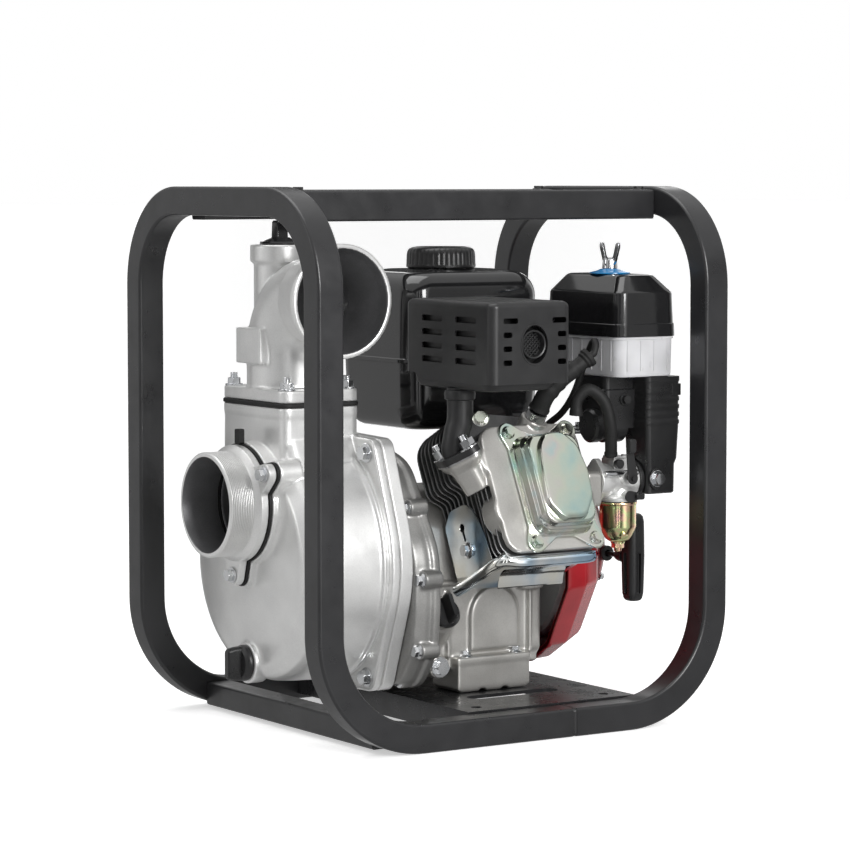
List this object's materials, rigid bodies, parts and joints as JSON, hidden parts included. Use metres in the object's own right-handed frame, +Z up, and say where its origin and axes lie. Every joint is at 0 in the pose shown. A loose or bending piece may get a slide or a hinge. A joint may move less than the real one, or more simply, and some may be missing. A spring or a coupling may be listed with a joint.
{
  "type": "gas engine trash pump",
  "caption": "Engine-driven centrifugal trash pump in a square-tube roll frame, with a lugged suction nipple, a flared discharge elbow and a recoil start.",
  "frame": {"origin": "on the floor under the middle of the roll frame", "axes": "+Z up, +Y along the crankshaft from the pump to the recoil starter, +X towards the cylinder head and the discharge mouth"},
  "size_m": [0.32, 0.406, 0.455],
  "materials": {
    "frame_black": "satin black powder coat",
    "cast_aluminium": "as cast, bead blasted",
    "engine_casting": "dark die casting",
    "zinc_yellow": "yellow zinc plated sheet",
    "bright_zinc": "bright zinc plate",
    "gloss_black": "gloss black",
    "satin_black": "satin black",
    "rubber": "matt black",
    "housing_red": "gloss dark red",
    "filter_white": "translucent white",
    "bowl_gold": "gold zinc plate",
    "machined_steel": "machined",
    "foam": "open-cell foam"
  },
  "bodies": {
    "frame": {"pump_end_hoop": "frame_black", "recoil_end_hoop": "frame_black", "top_crossbar_near": "frame_black", "top_crossbar_far": "frame_black", "front_cross_member": "frame_black", "engine_base_plate": "frame_black", "pump_casing": "cast_aluminium", "pump_back_cover": "cast_aluminium", "suction_flange": "cast_aluminium", "suction_gasket": "rubber", "suction_bolt_1": "bright_zinc", "suction_bolt_2": "bright_zinc", "suction_bolt_3": "bright_zinc", "casing_bolt_1": "bright_zinc", "casing_bolt_2": "bright_zinc", "casing_bolt_3": "bright_zinc", "casing_bolt_4": "bright_zinc", "elbow_gasket": "rubber", "discharge_elbow": "cast_aluminium", "volute_insert": "cast_aluminium", "mechanical_seal": "machined_steel", "side_cover": "engine_casting", "crankcase": "engine_casting", "cylinder_head": "engine_casting", "spark_plug": "machined_steel", "plug_boot": "rubber", "ignition_lead": "rubber", "valve_cover": "zinc_yellow", "air_shroud": "bright_zinc", "fan_housing": "housing_red", "recoil_cover": "housing_red", "fuel_tank": "gloss_black", "muffler_guard": "satin_black", "muffler": "satin_black", "exhaust_pipe": "satin_black", "air_cleaner_case": "filter_white", "air_cleaner_cover": "gloss_black", "filter_element": "foam", "intake_elbow": "satin_black", "carburettor": "cast_aluminium", "float_bowl": "bowl_gold", "control_plate": "bright_zinc", "breather_hose": "rubber"},
    "rotor": {"crankshaft": "machined_steel", "impeller": "cast_aluminium", "flywheel": "cast_aluminium"},
    "starter_reel": {"starter_reel": "satin_black"},
    "starter_grip": {"starter_grip": "satin_black"},
    "check_flap": {"check_flap": "rubber"},
    "fuel_cap": {"fuel_cap": "satin_black"},
    "oil_cap": {"oil_cap": "satin_black"},
    "priming_plug": {"priming_plug": "satin_black"},
    "drain_plug": {"drain_plug": "satin_black"},
    "wing_nut": {"wing_nut": "bright_zinc"},
    "choke_lever": {"choke_lever": "satin_black"},
    "throttle_lever": {"throttle_lever": "bright_zinc"},
    "fuel_valve_lever": {"fuel_valve_lever": "satin_black"},
    "stop_switch": {"stop_switch": "satin_black"}
  },
  "joints": [
    {"name": "rotor_spin", "type": "hinge", "parent": "frame", "child": "rotor", "pos_m": [-0.0245, 0, 0.14], "axis": [0, 1, 0], "continuous": true},
    {"name": "starter_pull", "type": "slide", "parent": "frame", "child": "starter_grip", "axis": [1, 0, 0], "range_m": [0, 0.35], "stiffness_N_per_m": 30, "springref_m": -0.3},
    {"name": "reel_turn", "type": "hinge", "parent": "frame", "child": "starter_reel", "pos_m": [-0.0245, 0.158, 0.14], "axis": [0, 1, 0], "range_deg": [0, 530]},
    {"name": "flap_swing", "type": "hinge", "parent": "frame", "child": "check_flap", "pos_m": [-0.0245, -0.15, 0.231], "axis": [1, 0, 0], "range_deg": [0, 20]},
    {"name": "fuel_cap_turn", "type": "hinge", "parent": "frame", "child": "fuel_cap", "pos_m": [-0.0545, 0.052, 0.3833], "axis": [0, 0, 1], "range_deg": [0, 90]},
    {"name": "oil_cap_turn", "type": "hinge", "parent": "frame", "child": "oil_cap", "pos_m": [0.056, -0.018, 0.096], "axis": [0.848, 0, 0.5299], "range_deg": [0, 1080]},
    {"name": "priming_plug_turn", "type": "hinge", "parent": "frame", "child": "priming_plug", "pos_m": [-0.043, -0.1183, 0.4063], "axis": [0, 0, 1], "range_deg": [0, 1440]},
    {"name": "drain_plug_turn", "type": "hinge", "parent": "frame", "child": "drain_plug", "pos_m": [-0.0245, -0.1643, 0.056], "axis": [0, -1, 0], "range_deg": [0, 1440]},
    {"name": "wing_nut_turn", "type": "hinge", "parent": "frame", "child": "wing_nut", "pos_m": [0.074, 0.141, 0.3803], "axis": [0, 0, 1], "range_deg": [0, 1440]},
    {"name": "choke_turn", "type": "hinge", "parent": "frame", "child": "choke_lever", "pos_m": [0.1233, 0.13, 0.208], "axis": [-1, 0, 0], "range_deg": [0, 75]},
    {"name": "throttle_turn", "type": "hinge", "parent": "frame", "child": "throttle_lever", "pos_m": [0.052, 0.126, 0.248], "axis": [0, 0, 1], "range_deg": [-20, 25]},
    {"name": "fuel_valve_turn", "type": "hinge", "parent": "frame", "child": "fuel_valve_lever", "pos_m": [0.1173, 0.1315, 0.192], "axis": [-1, 0, 0], "range_deg": [0, 90]},
    {"name": "stop_switch_turn", "type": "hinge", "parent": "frame", "child": "stop_switch", "pos_m": [-0.073, 0.1463, 0.1905], "axis": [0, 1, 0], "range_deg": [0, 45]}
  ],
  "couplings": [
    {"joint": "reel_turn", "follows": "starter_pull", "rad_per_m": 26.3}
  ]
}
